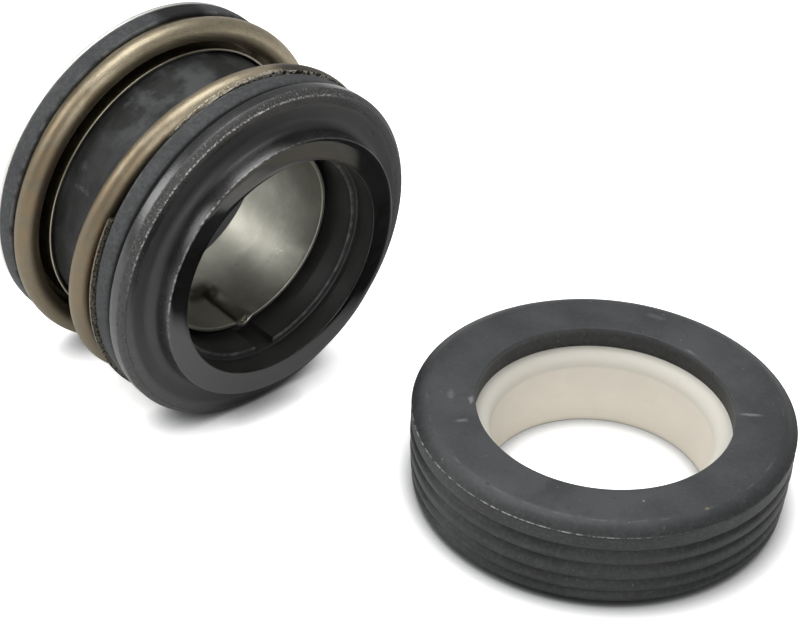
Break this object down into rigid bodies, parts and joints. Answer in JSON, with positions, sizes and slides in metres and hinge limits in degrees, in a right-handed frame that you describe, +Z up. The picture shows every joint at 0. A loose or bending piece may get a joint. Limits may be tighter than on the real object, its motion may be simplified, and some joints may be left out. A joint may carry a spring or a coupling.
{
  "type": "component mechanical seal",
  "caption": "Component shaft seal for a pump: spring-loaded head with rubber bellows and stepped nose ring, and a ceramic seat in a ribbed rubber cup.",
  "frame": {"origin": "on the floor, under the middle of the pair", "axes": "+X along the axis of the head, out of its nose; +Z up, along the axis of the seat, out of its back"},
  "size_m": [0.0664, 0.0524, 0.0345],
  "materials": {
    "stainless": "turned and drawn stainless, dull",
    "spring_steel": "drawn wire, heat-tinted bronze brown",
    "bellows_rubber": "moulded nitrile rubber, matt, slate tinted",
    "seat_rubber": "moulded nitrile rubber, matt, slate tinted",
    "ring_resin": "moulded carbon-filled phenolic, polished lapped face",
    "seat_ceramic": "white alumina, ground"
  },
  "bodies": {
    "tail_and_seat": {"drive_sleeve": "stainless", "bellows": "bellows_rubber", "spring_retainer": "stainless", "spring": "spring_steel", "seat_cup": "seat_rubber", "seat_ring": "seat_ceramic"},
    "nose": {"primary_ring": "ring_resin"}
  },
  "joints": [
    {"name": "face_travel", "type": "slide", "parent": "tail_and_seat", "child": "nose", "axis": [-1, 0, 0], "range_m": [0, 0.004], "stiffness_N_per_m": 15000, "deforming": ["spring", "bellows"]}
  ]
}
